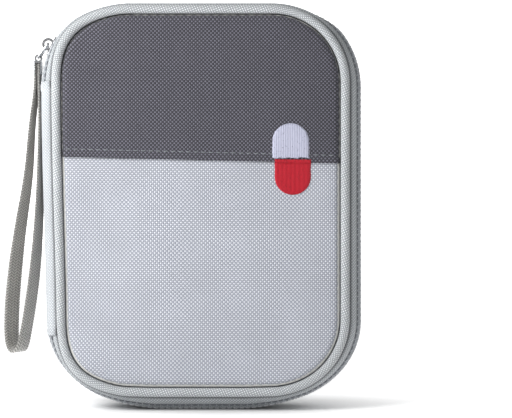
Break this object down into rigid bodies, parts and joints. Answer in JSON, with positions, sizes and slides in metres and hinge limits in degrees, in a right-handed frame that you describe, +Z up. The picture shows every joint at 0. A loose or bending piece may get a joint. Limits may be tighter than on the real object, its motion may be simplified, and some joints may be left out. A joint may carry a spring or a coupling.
{
  "type": "travel pill organizer",
  "caption": "Soft zip-around travel case for pills that opens like a book, with pockets and elastic loops inside and a wrist strap on the zip",
  "frame": {"origin": "under the middle of the case, on the surface that it stands on, in the plane of the zip", "axes": "+Z up; the front face looks along -Y; +X to the right, away from the spine"},
  "size_m": [0.1388, 0.036, 0.161],
  "materials": {
    "light_oxford": "coarse woven light grey polyester oxford",
    "dark_oxford": "coarse woven dark grey polyester oxford",
    "white_thread": "white satin-stitched embroidery thread",
    "red_thread": "red fill-stitched embroidery thread",
    "grey_piping": "light grey twill binding over a cord",
    "foam": "closed-cell foam board",
    "filler_cord": "solid polyethylene piping cord",
    "lining": "smooth woven grey lining",
    "zip_tape": "woven polyester zip tape",
    "nylon_coil": "moulded nylon coil",
    "nickel": "polished nickel-plated zinc alloy",
    "webbing": "herringbone polyester webbing",
    "mesh": "knitted polyester mesh",
    "elastic": "ribbed woven elastic"
  },
  "bodies": {
    "back_shell": {"back_panel": "light_oxford", "back_foam_board": "foam", "back_lining": "lining", "back_piping": "grey_piping", "back_piping_cord": "filler_cord", "back_gusset": "light_oxford", "back_zip_tape": "zip_tape", "back_zip_coil": "nylon_coil", "back_seam_binding": "lining", "spine_panel": "light_oxford", "spine_lining": "lining", "slip_pocket": "lining", "slip_pocket_hem": "elastic", "elastic_loops": "elastic"},
    "front_cover": {"front_panel": "light_oxford", "front_foam_board": "foam", "front_lining": "lining", "front_piping": "grey_piping", "front_piping_cord": "filler_cord", "front_gusset": "light_oxford", "front_zip_tape": "zip_tape", "front_zip_coil": "nylon_coil", "front_seam_binding": "lining", "upper_overlay": "dark_oxford", "capsule_upper_half": "white_thread", "capsule_lower_half": "red_thread", "mesh_pocket": "mesh", "mesh_pocket_hem": "elastic"},
    "zip_slider": {"slider_body": "nickel"},
    "pull": {"pull_link": "nickel"},
    "strap": {"strap_clasp": "nickel", "wrist_strap": "webbing"}
  },
  "joints": [
    {"name": "cover_opening", "type": "hinge", "parent": "back_shell", "child": "front_cover", "pos_m": [-0.067, 0, 0.0805], "axis": [0, 0, -1], "range_deg": [0, 180], "deforming": ["spine_panel", "spine_lining", "back_zip_tape", "back_zip_coil"]},
    {"name": "slider_run", "type": "hinge", "parent": "front_cover", "child": "zip_slider", "pos_m": [-0.0275, 0, 0.126], "axis": [0, 1, 0], "range_deg": [0, 62], "deforming": ["front_zip_coil"]},
    {"name": "pull_swing", "type": "hinge", "parent": "zip_slider", "child": "pull", "pos_m": [-0.06096, 0, 0.14379], "axis": [0, 1, 0], "range_deg": [0, 150]},
    {"name": "strap_swing", "type": "hinge", "parent": "pull", "child": "strap", "pos_m": [-0.06486, 0, 0.13847], "axis": [0, 1, 0], "range_deg": [0, 90], "deforming": ["wrist_strap"]}
  ]
}
